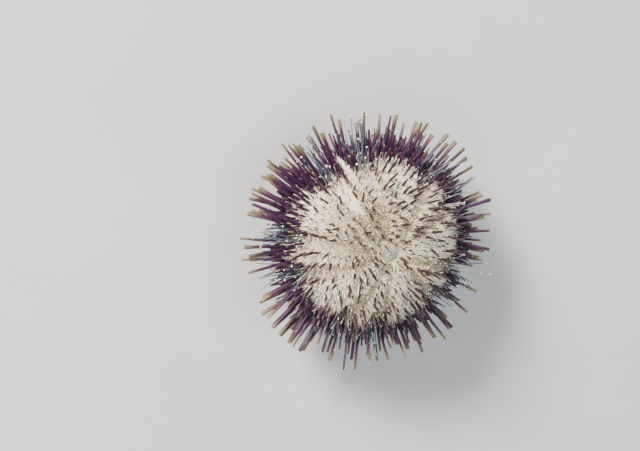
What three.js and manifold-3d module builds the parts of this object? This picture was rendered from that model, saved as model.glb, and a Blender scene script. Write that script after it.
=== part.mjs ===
// A purple sea urchin standing on its short underside spines.
// Millimetres, +Z up, the origin on the floor under the middle of the spines' spread.
import * as THREE from "three";
import { mergeVertices } from "three/addons/utils/BufferGeometryUtils.js";
import Module from "manifold-3d";

const wasm = await Module();
wasm.setup();
const { degToRad, lerp, seededRandom } = THREE.MathUtils;
seededRandom(11);

// The shell: its round outline, and the levels of its top, widest line and underside.
const SHELL_RADIUS = 28;
const TOP_Z = 44;
const WIDEST_Z = 24;
const UNDERSIDE_Z = 6.5;
const UNDERSIDE_SQUARENESS = 0.82;
const APICAL_RADIUS = 5;
const PERISTOME_RADIUS = 7;
const PERISTOME_THICKNESS = 2;
const CORE_RADIUS = 2.5;
const SEAM_GAP = 0.3;
const SEAM_CLEARANCE = 0.3;
const SHELL_STEPS = 15;
const DISC_SIDES = 20;

// Five narrow ambulacra with their tube feet alternate with five broad interambulacra.
const FOLDS = 5;
const FOLD_ANGLE = (2 * Math.PI) / FOLDS;
const AMBULACRUM_ANGLE = degToRad(25);
const INTERAMBULACRUM_ANGLE = FOLD_ANGLE - AMBULACRUM_ANGLE;
const FIRST_AMBULACRUM = Math.PI / 2;

// Sizes along the shell, as pairs of how far it faces up (1) or down (-1) and the size there.
const SPINE_LENGTH = [
  [-1, 7.3],
  [-0.8, 10.2],
  [-0.45, 14],
  [-0.15, 17.6],
  [0.12, 17.6],
  [0.3, 13],
  [0.5, 8],
  [0.75, 6.4],
  [1, 5.4],
];
const SPINE_ROOT = [[-1, 0.62], [0, 0.72], [1, 0.58]];
const SPINE_TIP = [[-1, 0.62], [0, 0.84], [0.3, 0.74], [0.5, 0.36], [1, 0.34]];
const COAT_LENGTH = [[-1, 4], [-0.3, 5.5], [0.1, 5.5], [0.4, 3.4], [1, 2.8]];
const TIP_FLATNESS = 0.55;
const ROOT_SINK = 1.3;
const COAT_RADIUS = 0.46;
const SPINE_SIDES = 4;
const COAT_SIDES = 3;

// How the spines stand: rows down each column of plates, and the space between them in a row.
const SPINE_ROWS = 11;
const SPINE_SPACING = 3.9;
const COAT_ROWS = 11;
const COAT_SPACING = 3.7;
const AMBULACRUM_ROWS = 12;
const LENGTH_VARIATION = 0.12;
const LEAN = degToRad(8);

// Tube feet: thin rods with a sucker disc at the end, in the edges of each ambulacrum.
const TUBE_FOOT_LENGTH = [[-0.5, 9], [0, 19], [0.4, 17], [0.9, 8]];
const TUBE_FEET_A_SIDE = 4;
const TUBE_FOOT_RADIUS = 0.34;
const SUCKER_RADIUS = 0.62;
const SUCKER_HEIGHT = 0.4;

// The apical disc: five genital and five ocular plates as half sizes, where they and the disc's
// short spines stand, and the soft dome in the middle.
const PLATE_LIFT = 0.5;
const GENITAL_PLATE = new THREE.Vector3(1.35, 1.5, 0.8);
const GENITAL_RING = 3.45;
const OCULAR_PLATE = new THREE.Vector3(0.75, 0.9, 0.6);
const OCULAR_RING = 4;
const DISC_SPINE_RING = 3.7;
const DISC_SPINE_LENGTH = 3.6;
const PERIPROCT_RADIUS = 2;
const PERIPROCT_HEIGHT = 1.1;

// The mouth: its raised lip, its ring of short mouth feet and its five teeth.
const LIP_RADIUS = 2.4;
const LIP_DROP = 0.5;
const MOUTH_FOOT_RING = 4.6;
const MOUTH_FOOT_RADIUS = 0.5;
const MOUTH_FOOT_LENGTH = 1.6;
const TOOTH_RING = 1.25;
const TOOTH_LENGTH = 2.3;
const TOOTH_HALF_WIDTH = 0.62;
const TOOTH_LEAN = 0.55;

const SHELL_COLOUR = 0xd8ccb8;
const DISC_COLOUR = 0xc9bfb0;
const MEMBRANE_COLOUR = 0xa98b7c;
const TOOTH_COLOUR = 0xf2efe6;

// The value at x on the straight lines that join the given pairs.
function along(pairs, x) {
  const last = pairs.length - 1;
  if (x <= pairs[0][0]) return pairs[0][1];
  if (x >= pairs[last][0]) return pairs[last][1];
  const i = pairs.findIndex(([at]) => at > x);
  const [x0, y0] = pairs[i - 1];
  const [x1, y1] = pairs[i];
  return lerp(y0, y1, (x - x0) / (x1 - x0));
}

// A point at a radius and an angle round the axis, at a level.
const onRing = (radius, angle, level) =>
  new THREE.Vector3(radius * Math.cos(angle), radius * Math.sin(angle), level);

// A random number from -1 to 1.
const either = () => 2 * seededRandom() - 1;

// A point of the shell's outline and its outward direction, both as (radius, height).
// turn runs from 0 at the top pole to pi at the bottom one, squarer on the underside.
function outlineAt(turn) {
  const onTop = turn < Math.PI / 2;
  const half = onTop ? TOP_Z - WIDEST_Z : WIDEST_Z - UNDERSIDE_Z;
  const power = onTop ? 1 : UNDERSIDE_SQUARENESS;
  const across = Math.sin(turn) ** power;
  const up = Math.sign(Math.cos(turn)) * Math.abs(Math.cos(turn)) ** power;
  const slope = 2 / power - 1;
  const normal = new THREE.Vector2(
    across ** slope / SHELL_RADIUS,
    (Math.sign(up) * Math.abs(up) ** slope) / half,
  ).normalize();
  return { point: new THREE.Vector2(SHELL_RADIUS * across, WIDEST_Z + half * up), normal };
}

// The turn at which the outline has the given radius, on the top or the underside.
function turnAtRadius(radius, onTop) {
  const share = radius / SHELL_RADIUS;
  return onTop ? Math.asin(share) : Math.PI - Math.asin(share ** (1 / UNDERSIDE_SQUARENESS));
}

const FIRST_TURN = turnAtRadius(APICAL_RADIUS + SEAM_GAP, true);
const LAST_TURN = turnAtRadius(PERISTOME_RADIUS + SEAM_GAP, false);
const APICAL_EDGE = outlineAt(FIRST_TURN).point;
const PERISTOME_EDGE = outlineAt(LAST_TURN).point;

// The turn of a row of plates, for a share from 0 at the top to 1 at the mouth.
// Plates are tallest round the widest line.
function turnOfRow(share) {
  return lerp(FIRST_TURN, LAST_TURN, share - 0.045 * Math.sin(2 * Math.PI * share));
}

// A closed mesh as a solid that can be joined and cut, with its shared corners merged.
function solidOf(geometry) {
  const bare = geometry.index ? geometry.toNonIndexed() : geometry.clone();
  bare.deleteAttribute("normal");
  bare.deleteAttribute("uv");
  const merged = mergeVertices(bare, 1e-4);
  return new wasm.Manifold(
    new wasm.Mesh({
      numProp: 3,
      vertProperties: merged.attributes.position.array,
      triVerts: new Uint32Array(merged.index.array),
    }),
  );
}

// A solid as a geometry for a mesh.
function geometryOf(solid) {
  const { numVert, numProp, vertProperties, triVerts } = solid.getMesh();
  const corners = new Float32Array(numVert * 3);
  for (let i = 0; i < numVert; i++)
    corners.set(vertProperties.subarray(i * numProp, i * numProp + 3), i * 3);
  const geometry = new THREE.BufferGeometry();
  geometry.setAttribute("position", new THREE.BufferAttribute(corners, 3));
  geometry.setIndex(new THREE.BufferAttribute(new Uint32Array(triVerts), 1));
  geometry.computeVertexNormals();
  return geometry;
}

// The largest of the separate bodies of a solid.
function largestBody(solid) {
  return solid.decompose().reduce((most, body) => (body.volume() > most.volume() ? body : most));
}

// A body with its pieces joined on and what reaches below the floor cut flat.
const FLOOR = solidOf(new THREE.BoxGeometry(200, 200, 40).translate(0, 0, -20));
function joined(body, pieces) {
  const all = [solidOf(body), ...pieces.map(solidOf)];
  return geometryOf(largestBody(wasm.Manifold.union(all).subtract(FLOOR)));
}

// A closed outline of (radius, height) points swept round the axis between two flat side faces,
// each set back from its radial plane by half the seam gap.
function sectorGeometry(outline, { middle, angle, columns }) {
  const corners = [];
  for (const { x: radius, y: height } of outline) {
    const reach = angle / 2 - Math.asin(SEAM_GAP / 2 / radius);
    for (let i = 0; i <= columns; i++) {
      const at = middle + reach * ((2 * i) / columns - 1);
      corners.push(radius * Math.cos(at), radius * Math.sin(at), height);
    }
  }
  const faces = [];
  const rows = outline.length;
  const corner = (row, column) => (row % rows) * (columns + 1) + column;
  for (let row = 0; row < rows; row++)
    for (let i = 0; i < columns; i++) {
      faces.push(corner(row, i), corner(row + 1, i), corner(row + 1, i + 1));
      faces.push(corner(row, i), corner(row + 1, i + 1), corner(row, i + 1));
    }
  for (const [a, b, c] of THREE.ShapeUtils.triangulateShape(outline, [])) {
    faces.push(corner(a, 0), corner(b, 0), corner(c, 0));
    faces.push(corner(a, columns), corner(c, columns), corner(b, columns));
  }
  const geometry = new THREE.BufferGeometry();
  geometry.setAttribute("position", new THREE.Float32BufferAttribute(corners, 3));
  geometry.setIndex(faces);
  return geometry;
}

// The outline of a sector of the shell, from the apical disc to the mouth and back up the core.
function sectorOutline() {
  const outline = [];
  for (let i = 0; i <= SHELL_STEPS; i++)
    outline.push(outlineAt(lerp(FIRST_TURN, LAST_TURN, i / SHELL_STEPS)).point);
  outline.push(new THREE.Vector2(PERISTOME_EDGE.x, PERISTOME_EDGE.y + PERISTOME_THICKNESS));
  outline.push(new THREE.Vector2(CORE_RADIUS, PERISTOME_EDGE.y + PERISTOME_THICKNESS + 1));
  outline.push(new THREE.Vector2(CORE_RADIUS, APICAL_EDGE.y - 2));
  outline.push(new THREE.Vector2(APICAL_EDGE.x, APICAL_EDGE.y - 1));
  return outline;
}

// The place and outward direction of a point of the shell, at a turn and an angle round the axis.
function shellAt(turn, angle) {
  const { point, normal } = outlineAt(turn);
  return { place: onRing(point.x, angle, point.y), out: onRing(normal.x, angle, normal.y) };
}

// A tip pushed back inside its sector, so that a piece of the given radius clears the neighbours.
function insideSector(tip, radius, { middle, angle }) {
  for (const side of [-1, 1]) {
    const edge = middle + (side * angle) / 2;
    const inward = new THREE.Vector3(Math.sin(edge), -Math.cos(edge), 0).multiplyScalar(side);
    const short = SEAM_GAP / 2 + SEAM_CLEARANCE + radius - tip.dot(inward);
    if (short > 0) tip.addScaledVector(inward, short);
  }
  return tip;
}

// A shape that stands along +Y, set with its foot at a place and its length towards a tip.
function standing(geometry, place, tip, twist) {
  const upward = new THREE.Vector3(0, 1, 0);
  const turned = new THREE.Quaternion()
    .setFromUnitVectors(upward, tip.clone().sub(place).normalize())
    .multiply(new THREE.Quaternion().setFromAxisAngle(upward, twist));
  return geometry.applyQuaternion(turned).translate(place.x, place.y, place.z);
}

// The tip of a piece that grows from the shell, leaning a little and kept inside its sector.
function leaningTip({ place, out }, length, radius, sector) {
  const round = new THREE.Vector3(-place.y, place.x, 0).normalize();
  const down = new THREE.Vector3().crossVectors(round, out);
  const direction = out
    .clone()
    .addScaledVector(round, Math.tan(LEAN) * either())
    .addScaledVector(down, Math.tan(LEAN) * either())
    .normalize();
  return insideSector(place.clone().addScaledVector(direction, length), radius, sector);
}

// A spine: a four-sided shaft from its sunk root to a flat chisel tip, widest round the middle of
// the animal and narrow on its top.
function spineOn(sector, turn, angle) {
  const spot = shellAt(turn, angle);
  const facing = spot.out.z;
  const length = along(SPINE_LENGTH, facing) * (1 + LENGTH_VARIATION * either());
  const tip = leaningTip(spot, length, along(SPINE_TIP, facing), sector);
  const rootRadius = along(SPINE_ROOT, facing);
  const tipRadius = along(SPINE_TIP, facing);
  const shaft = new THREE.LatheGeometry(
    [
      new THREE.Vector2(0, -ROOT_SINK),
      new THREE.Vector2(rootRadius, -ROOT_SINK),
      new THREE.Vector2(tipRadius, length),
      new THREE.Vector2(0, length),
    ],
    SPINE_SIDES,
    Math.PI / SPINE_SIDES,
  );
  const position = shaft.attributes.position;
  for (let i = 0; i < position.count; i++)
    if (position.getY(i) > length * 0.99) position.setZ(i, position.getZ(i) * TIP_FLATNESS);
  return standing(shaft, spot.place, tip, either());
}

// One of the fine short pale spines of the coat: a three-sided cone.
function coatSpineOn(sector, turn, angle) {
  const spot = shellAt(turn, angle);
  const length = along(COAT_LENGTH, spot.out.z) * (1 + LENGTH_VARIATION * either());
  const tip = leaningTip(spot, length, 0, sector);
  const cone = new THREE.ConeGeometry(COAT_RADIUS, length + ROOT_SINK, COAT_SIDES);
  return standing(cone.translate(0, (length - ROOT_SINK) / 2, 0), spot.place, tip, either() * Math.PI);
}

// A stretched tube foot with its sucker.
function tubeFootOn(sector, turn, angle) {
  const spot = shellAt(turn, angle);
  const length = along(TUBE_FOOT_LENGTH, spot.out.z) * (1 + LENGTH_VARIATION * either());
  const tip = leaningTip(spot, length, SUCKER_RADIUS, sector);
  const foot = new THREE.LatheGeometry(
    [
      new THREE.Vector2(0, -ROOT_SINK),
      new THREE.Vector2(TUBE_FOOT_RADIUS, -ROOT_SINK),
      new THREE.Vector2(TUBE_FOOT_RADIUS * 0.9, length - SUCKER_HEIGHT),
      new THREE.Vector2(SUCKER_RADIUS, length),
      new THREE.Vector2(0, length),
    ],
    COAT_SIDES,
  );
  return standing(foot, spot.place, tip, either() * Math.PI);
}

// How far from its middle a sector can be planted at a turn, as an angle, with room for a root.
function plantedReach(turn, { angle }, radius) {
  return angle / 2 - Math.asin((SEAM_GAP / 2 + SEAM_CLEARANCE + radius) / outlineAt(turn).point.x);
}

// The spines of an interambulacrum: two columns of plates that alternate, with one to three
// spines in a row on each plate, and the coat's spines in rows between them.
function interambulacrumPieces(sector) {
  const pieces = [];
  for (let row = 0; row < SPINE_ROWS; row++)
    for (const side of [-1, 1]) {
      const turn = turnOfRow((row + 0.5 + side * 0.25) / SPINE_ROWS);
      const reach = plantedReach(turn, sector, SPINE_ROOT[1][1]);
      const many = Math.max(1, Math.round((reach * outlineAt(turn).point.x) / SPINE_SPACING));
      for (let i = 0; i < many; i++) {
        const angle = sector.middle + side * reach * ((i + 0.5 + 0.15 * either()) / many);
        pieces.push(spineOn(sector, turn, angle));
      }
    }
  for (let row = 0; row < COAT_ROWS; row++) {
    const turn = turnOfRow((row + 0.5) / COAT_ROWS);
    const reach = plantedReach(turn, sector, COAT_RADIUS);
    const many = Math.max(2, Math.round((2 * reach * outlineAt(turn).point.x) / COAT_SPACING));
    for (let i = 0; i < many; i++) {
      const angle = sector.middle + reach * ((2 * i) / (many - 1) - 1) * (1 - 0.1 * seededRandom());
      pieces.push(coatSpineOn(sector, turn + 0.03 * either(), angle));
    }
  }
  return pieces;
}

// The pieces of an ambulacrum: a column of spines on each side of its middle, coat spines between
// them, and tube feet along both edges.
function ambulacrumPieces(sector) {
  const pieces = [];
  for (let row = 0; row < AMBULACRUM_ROWS; row++)
    for (const side of [-1, 1]) {
      const share = (row + 0.5 + side * 0.25) / AMBULACRUM_ROWS;
      const turn = turnOfRow(share);
      const reach = plantedReach(turn, sector, SPINE_ROOT[1][1]);
      pieces.push(spineOn(sector, turn, sector.middle + side * reach * 0.48));
      if (side * (-1) ** row > 0)
        pieces.push(coatSpineOn(sector, turnOfRow(share + 0.25 / AMBULACRUM_ROWS), sector.middle));
    }
  for (let i = 0; i < TUBE_FEET_A_SIDE; i++)
    for (const side of [-1, 1]) {
      const turn = turnOfRow(0.16 + (0.48 * (i + 0.3 + 0.2 * side)) / TUBE_FEET_A_SIDE);
      const reach = plantedReach(turn, sector, SUCKER_RADIUS);
      pieces.push(tubeFootOn(sector, turn, sector.middle + side * reach));
    }
  return pieces;
}

const urchin = new THREE.Group();

function addPiece(name, geometry, color, roughness) {
  const mesh = new THREE.Mesh(
    geometry,
    new THREE.MeshStandardMaterial({ color, roughness, metalness: 0 }),
  );
  mesh.name = name;
  urchin.add(mesh);
  return mesh;
}

// The ten sectors of the shell, each with its spines.
for (let fold = 0; fold < FOLDS; fold++) {
  const middle = FIRST_AMBULACRUM + fold * FOLD_ANGLE;
  const narrow = { middle, angle: AMBULACRUM_ANGLE, columns: 2 };
  const broad = { middle: middle + FOLD_ANGLE / 2, angle: INTERAMBULACRUM_ANGLE, columns: 4 };
  addPiece(
    `ambulacrum_${fold + 1}`,
    joined(sectorGeometry(sectorOutline(), narrow), ambulacrumPieces(narrow)),
    SHELL_COLOUR,
    0.7,
  );
  addPiece(
    `interambulacrum_${fold + 1}`,
    joined(sectorGeometry(sectorOutline(), broad), interambulacrumPieces(broad)),
    SHELL_COLOUR,
    0.7,
  );
}

// The apical disc: a ring of five large and five small plates on a plug that fills the core,
// with a few short spines, and a hollow for the periproct.
function apicalDisc() {
  const level = APICAL_EDGE.y;
  const base = new THREE.LatheGeometry(
    [
      new THREE.Vector2(0, PERISTOME_EDGE.y + PERISTOME_THICKNESS + 1),
      new THREE.Vector2(CORE_RADIUS - SEAM_GAP, PERISTOME_EDGE.y + PERISTOME_THICKNESS + 1),
      new THREE.Vector2(CORE_RADIUS - SEAM_GAP, level - 1.9),
      new THREE.Vector2(APICAL_RADIUS, level - 0.7),
      new THREE.Vector2(APICAL_RADIUS, level - 0.1),
      new THREE.Vector2(PERIPROCT_RADIUS + SEAM_GAP, level + PLATE_LIFT),
      new THREE.Vector2(PERIPROCT_RADIUS + SEAM_GAP, level - 0.6),
      new THREE.Vector2(0, level - 0.6),
    ],
    DISC_SIDES,
  ).rotateX(Math.PI / 2);
  const pieces = [];
  for (let fold = 0; fold < FOLDS; fold++) {
    const middle = FIRST_AMBULACRUM + fold * FOLD_ANGLE;
    for (const [turned, radius, size] of [
      [FOLD_ANGLE / 2, GENITAL_RING, GENITAL_PLATE],
      [0, OCULAR_RING, OCULAR_PLATE],
    ])
      pieces.push(
        new THREE.SphereGeometry(1, 6, 3)
          .rotateX(Math.PI / 2)
          .scale(size.x, size.y, size.z)
          .rotateZ(middle + turned)
          .translate(...onRing(radius, middle + turned, level)),
      );
    for (const turned of [-0.32, 0.32]) {
      const angle = middle + FOLD_ANGLE / 2 + turned;
      const place = onRing(DISC_SPINE_RING, angle, level);
      const tip = place.clone().add(new THREE.Vector3(0, 0, DISC_SPINE_LENGTH));
      const cone = new THREE.ConeGeometry(COAT_RADIUS, DISC_SPINE_LENGTH + 1, COAT_SIDES);
      pieces.push(standing(cone.translate(0, DISC_SPINE_LENGTH / 2, 0), place, tip, 0));
    }
  }
  return joined(base, pieces);
}
addPiece("apical_disc", apicalDisc(), DISC_COLOUR, 0.7);

// The periproct: a soft dome with the vent in its middle.
const periproct = new THREE.LatheGeometry(
  [
    new THREE.Vector2(0, -0.3),
    new THREE.Vector2(PERIPROCT_RADIUS, -0.3),
    new THREE.Vector2(PERIPROCT_RADIUS, 0.4),
    new THREE.Vector2(PERIPROCT_RADIUS * 0.55, PERIPROCT_HEIGHT * 0.85),
    new THREE.Vector2(PERIPROCT_RADIUS * 0.25, PERIPROCT_HEIGHT),
    new THREE.Vector2(0, 0.5),
  ],
  DISC_SIDES,
).rotateX(Math.PI / 2);
addPiece("periproct", periproct, MEMBRANE_COLOUR, 0.5).position.z = APICAL_EDGE.y;

// The peristome: the soft disc round the mouth, with a raised lip and ten short mouth feet.
function peristomeDisc() {
  const level = PERISTOME_EDGE.y;
  const base = new THREE.LatheGeometry(
    [
      new THREE.Vector2(0, level + 0.4),
      new THREE.Vector2(LIP_RADIUS * 0.75, level + 0.2),
      new THREE.Vector2(LIP_RADIUS, level - LIP_DROP),
      new THREE.Vector2(LIP_RADIUS * 1.4, level),
      new THREE.Vector2(PERISTOME_RADIUS * 0.7, level + 0.7),
      new THREE.Vector2(PERISTOME_RADIUS, level + 0.5),
      new THREE.Vector2(PERISTOME_RADIUS, level + PERISTOME_THICKNESS - SEAM_GAP),
      new THREE.Vector2(CORE_RADIUS, level + PERISTOME_THICKNESS + 1 - SEAM_GAP),
      new THREE.Vector2(0, level + PERISTOME_THICKNESS + 1 - SEAM_GAP),
    ],
    DISC_SIDES,
  ).rotateX(Math.PI / 2);
  const pieces = [];
  for (let i = 0; i < 2 * FOLDS; i++) {
    const angle = FIRST_AMBULACRUM + Math.floor(i / 2) * FOLD_ANGLE + (i % 2 ? 0.22 : -0.22);
    const place = onRing(MOUTH_FOOT_RING, angle, level + 0.8);
    const tip = place.clone().add(new THREE.Vector3(0, 0, -MOUTH_FOOT_LENGTH));
    const foot = new THREE.CylinderGeometry(
      MOUTH_FOOT_RADIUS,
      MOUTH_FOOT_RADIUS * 0.7,
      MOUTH_FOOT_LENGTH + 0.6,
      5,
    );
    pieces.push(standing(foot.translate(0, MOUTH_FOOT_LENGTH / 2 - 0.3, 0), place, tip, 0));
  }
  return joined(base, pieces);
}
addPiece("peristome", peristomeDisc(), MEMBRANE_COLOUR, 0.5);

// Five teeth whose points meet in the mouth.
for (let fold = 0; fold < FOLDS; fold++) {
  const angle = FIRST_AMBULACRUM + (fold + 0.5) * FOLD_ANGLE;
  const tooth = new THREE.CylinderGeometry(TOOTH_HALF_WIDTH, 0.16, TOOTH_LENGTH, 4, 1)
    .translate(0, -TOOTH_LENGTH / 2, 0)
    .rotateX(Math.PI / 2);
  const position = tooth.attributes.position;
  for (let i = 0; i < position.count; i++)
    if (position.getZ(i) < -TOOTH_LENGTH / 2) position.setX(i, position.getX(i) - TOOTH_LEAN);
  const mesh = addPiece(`tooth_${fold + 1}`, tooth, TOOTH_COLOUR, 0.3);
  mesh.rotation.z = angle;
  mesh.position.copy(onRing(TOOTH_RING, angle, PERISTOME_EDGE.y - LIP_DROP + 0.1));
}

// The floor's origin goes under the middle of the spines' spread.
const spread = new THREE.Box3().setFromObject(urchin, true).getCenter(new THREE.Vector3());
for (const piece of urchin.children) piece.position.sub(spread.setZ(0));

export default urchin;
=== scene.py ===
import math

import bpy
import numpy as np
from mathutils import Matrix, Vector


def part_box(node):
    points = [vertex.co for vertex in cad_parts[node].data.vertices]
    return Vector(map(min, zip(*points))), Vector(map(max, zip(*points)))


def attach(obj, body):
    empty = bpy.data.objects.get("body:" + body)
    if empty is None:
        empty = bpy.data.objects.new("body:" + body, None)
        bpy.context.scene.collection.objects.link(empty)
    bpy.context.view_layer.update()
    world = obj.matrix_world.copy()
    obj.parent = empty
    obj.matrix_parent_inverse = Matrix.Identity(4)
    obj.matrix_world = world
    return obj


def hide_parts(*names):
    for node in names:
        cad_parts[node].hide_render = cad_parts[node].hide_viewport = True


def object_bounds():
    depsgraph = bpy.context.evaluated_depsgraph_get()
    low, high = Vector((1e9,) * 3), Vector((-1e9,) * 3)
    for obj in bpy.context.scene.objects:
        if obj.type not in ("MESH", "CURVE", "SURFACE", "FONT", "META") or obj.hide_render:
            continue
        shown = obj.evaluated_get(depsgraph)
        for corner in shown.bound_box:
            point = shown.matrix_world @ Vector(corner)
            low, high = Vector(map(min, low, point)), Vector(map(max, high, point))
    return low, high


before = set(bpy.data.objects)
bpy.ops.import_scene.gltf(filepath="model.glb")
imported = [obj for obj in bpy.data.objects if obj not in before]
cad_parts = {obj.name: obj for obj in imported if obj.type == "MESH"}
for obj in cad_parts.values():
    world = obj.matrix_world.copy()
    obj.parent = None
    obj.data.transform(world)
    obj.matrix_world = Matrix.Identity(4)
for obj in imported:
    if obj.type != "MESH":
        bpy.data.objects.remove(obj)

MM = 0.001
cad_low, cad_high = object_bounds()
mouth_low, mouth_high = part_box("peristome")
AXIS = np.array([mouth_low[0] + mouth_high[0], mouth_low[1] + mouth_high[1], 0.0]) / 2 / MM

PIXELS_PER_MM = 2.85
BODY_PIXEL = (371.5, 240.5)
PICTURE_CENTRE = (320.0, 225.5)
PICTURE_WIDTH = 640
BODY_HEIGHT = 25.0
LEAN_ANGLE = math.radians(23)
LEAN_ACROSS = 0.80
LEAN_UP = -0.60
TURN_ANGLE = math.radians(22)
LENS = 100.0
SENSOR_WIDTH = 36

lean = math.sin(LEAN_ANGLE)
pole = Vector((LEAN_ACROSS * lean, LEAN_UP * lean, math.cos(LEAN_ANGLE)))
across_picture = (Vector((1, 0, 0)) - pole.x * pole).normalized()
up_picture = pole.cross(across_picture)
body_x = across_picture * math.cos(TURN_ANGLE) + up_picture * math.sin(TURN_ANGLE)
body_y = up_picture * math.cos(TURN_ANGLE) - across_picture * math.sin(TURN_ANGLE)
to_body = Matrix((body_x, body_y, pole))

camera_data = bpy.data.cameras.new("camera")
camera_data.lens = LENS
camera_data.sensor_width = SENSOR_WIDTH
camera_data.clip_start = 0.01
right_of_centre = (BODY_PIXEL[0] - PICTURE_CENTRE[0]) / PIXELS_PER_MM
above_centre = (PICTURE_CENTRE[1] - BODY_PIXEL[1]) / PIXELS_PER_MM
distance = LENS / SENSOR_WIDTH * PICTURE_WIDTH / PIXELS_PER_MM
offset = Vector((right_of_centre, above_centre, -distance))
body_middle = Vector((AXIS[0], AXIS[1], BODY_HEIGHT))
camera = bpy.data.objects.new("camera", camera_data)
camera.matrix_world = Matrix.Translation((body_middle - to_body @ offset) * MM) @ to_body.to_4x4()
bpy.context.collection.objects.link(camera)
bpy.context.scene.camera = camera


def soft_light(name, direction, away, size, power, colour):
    """A square soft light, aimed at the animal from a direction in the picture's own axes."""
    data = bpy.data.lights.new(name, "AREA")
    data.size = size
    data.energy = power
    data.color = colour
    light = bpy.data.objects.new(name, data)
    out = (to_body @ Vector(direction)).normalized()
    light.location = body_middle * MM + out * away
    light.rotation_mode = "QUATERNION"
    light.rotation_quaternion = out.to_track_quat("Z", "Y")
    bpy.context.collection.objects.link(light)


soft_light("key_light", (-0.50, 0.62, 1.0), 2.2, 0.60, 208.0, (1.0, 0.93, 0.84))
soft_light("fill_light", (0.7, -0.2, 1.0), 2.4, 1.40, 32.0, (0.92, 0.96, 1.0))
soft_light("side_light", (-0.3, -0.9, 0.9), 2.4, 1.40, 22.4, (1.0, 0.97, 0.93))
world = bpy.data.worlds.new("studio")
world.use_nodes = True
sky = world.node_tree.nodes["Background"].inputs
sky["Color"].default_value = (0.88, 0.90, 0.93, 1)
sky["Strength"].default_value = 0.45
bpy.context.scene.world = world

# The floor: a wide flat sheet, dull pale grey with a faint mottle, that the animal stands on. It
# is there for the picture and isn't a piece of the animal.
FLOOR_HALF = 3000.0


def srgb(red, green, blue):
    """The linear colour of a screen colour of 0 to 255: the screen's curve undone, which is
    straight near black and a power of 2.4 above."""
    values = np.array([red, green, blue]) / 255
    linear = np.where(values <= 0.04045, values / 12.92, ((values + 0.055) / 1.055) ** 2.4)
    return (*linear, 1.0)


class Paint:
    """A material and its nodes. A call that adds a node returns its output."""

    def __init__(self, name, roughness, specular=0.4):
        self.material = bpy.data.materials.new(name)
        self.material.use_nodes = True
        self.tree = self.material.node_tree
        self.shader = self.tree.nodes["Principled BSDF"]
        self.set({"Roughness": roughness, "Specular IOR Level": specular})

    def set(self, inputs):
        """Gives the shader's own sockets these constants."""
        for key, value in inputs.items():
            self.shader.inputs[key].default_value = value

    def node(self, kind, inputs=(), **settings):
        """A node with these settings. An input is a number or colour, or the output it takes."""
        made = self.tree.nodes.new(kind)
        for key, value in settings.items():
            setattr(made, key, value)
        for key, value in dict(inputs).items():
            if isinstance(value, bpy.types.NodeSocket):
                self.tree.links.new(value, made.inputs[key])
            else:
                made.inputs[key].default_value = value
        return made

    def value(self, name):
        """The number of this name that each point of the piece holds."""
        return self.node("ShaderNodeAttribute", attribute_name=name).outputs["Fac"]

    def noise(self, scale, detail=3.0, where=None):
        """A cloudy pattern from 0 to 1, over the piece's own place or over another one."""
        where = where or self.node("ShaderNodeTexCoord").outputs["Object"]
        inputs = {"Vector": where, "Scale": scale, "Detail": detail, "Roughness": 0.55}
        return self.node("ShaderNodeTexNoise", inputs).outputs["Fac"]

    def sum(self, kind, first, second, third=0.0, clamp=False):
        """The result of one step of arithmetic on two or three numbers."""
        inputs = {0: first, 1: second, 2: third}
        return self.node("ShaderNodeMath", inputs, operation=kind, use_clamp=clamp).outputs[0]

    def ramp(self, factor, stops):
        """A colour on straight lines between linear colours at places from 0 to 1."""
        made = self.node("ShaderNodeValToRGB", {"Fac": factor})
        elements = made.color_ramp.elements
        while len(elements) < len(stops):
            elements.new(0.5)
        for element, (position, colour) in zip(elements, stops):
            element.position = position
            element.color = colour
        return made.outputs["Color"]

    def shades(self, factor, *stops):
        """The same between screen colours: each stop is a place, then red, green and blue."""
        return self.ramp(factor, [(place, srgb(*colour)) for place, *colour in stops])

    def mix(self, factor, first, second, kind="MIX"):
        """The first colour laid over with the second by the factor."""
        inputs = {0: factor, 6: first, 7: second}
        return self.node("ShaderNodeMix", inputs, data_type="RGBA", blend_type=kind).outputs[2]

    def colour(self, output):
        """Gives the material this colour."""
        self.tree.links.new(output, self.shader.inputs["Base Color"])

    def clouds(self, scale, detail, *stops):
        """Gives it shades that follow a cloudy pattern, which is returned."""
        pattern = self.noise(scale, detail)
        self.colour(self.shades(pattern, *stops))
        return pattern

    def rough(self, factor, low, high):
        """Gives it a roughness from low to high as the factor goes from 0.3 to 0.7."""
        made = self.ramp(factor, [(0.3, (low, low, low, 1)), (0.7, (high, high, high, 1))])
        self.tree.links.new(made, self.shader.inputs["Roughness"])

    def bump(self, height, depth):
        """Gives it a fine relief of this depth in millimetres."""
        made = self.node("ShaderNodeBump", {"Height": height, "Distance": depth * MM, "Strength": 1.0})
        self.tree.links.new(made.outputs["Normal"], self.shader.inputs["Normal"])


def add_piece(name, points, loops, starts, paint, slot, replaced=(), flat=None):
    """Makes a piece from points in millimetres, its faces' corners one after another, and where
    each face starts among them. Faces listed in flat are shaded flat."""
    mesh = bpy.data.meshes.new(name)
    mesh.vertices.add(len(points))
    mesh.vertices.foreach_set("co", (points * MM).astype(np.float32).ravel())
    mesh.loops.add(len(loops))
    mesh.loops.foreach_set("vertex_index", loops.astype(np.int32))
    mesh.polygons.add(len(starts))
    mesh.polygons.foreach_set("loop_start", starts.astype(np.int32))
    smooth = np.ones(len(starts), dtype=bool)
    if flat is not None:
        smooth[flat] = False
    mesh.update(calc_edges=True)
    mesh.polygons.foreach_set("use_smooth", smooth)
    mesh.materials.append(paint.material)
    piece = bpy.data.objects.new(name, mesh)
    bpy.context.collection.objects.link(piece)
    if slot:
        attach(piece, "root")
    if replaced:
        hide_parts(*replaced)
    return piece


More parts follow.
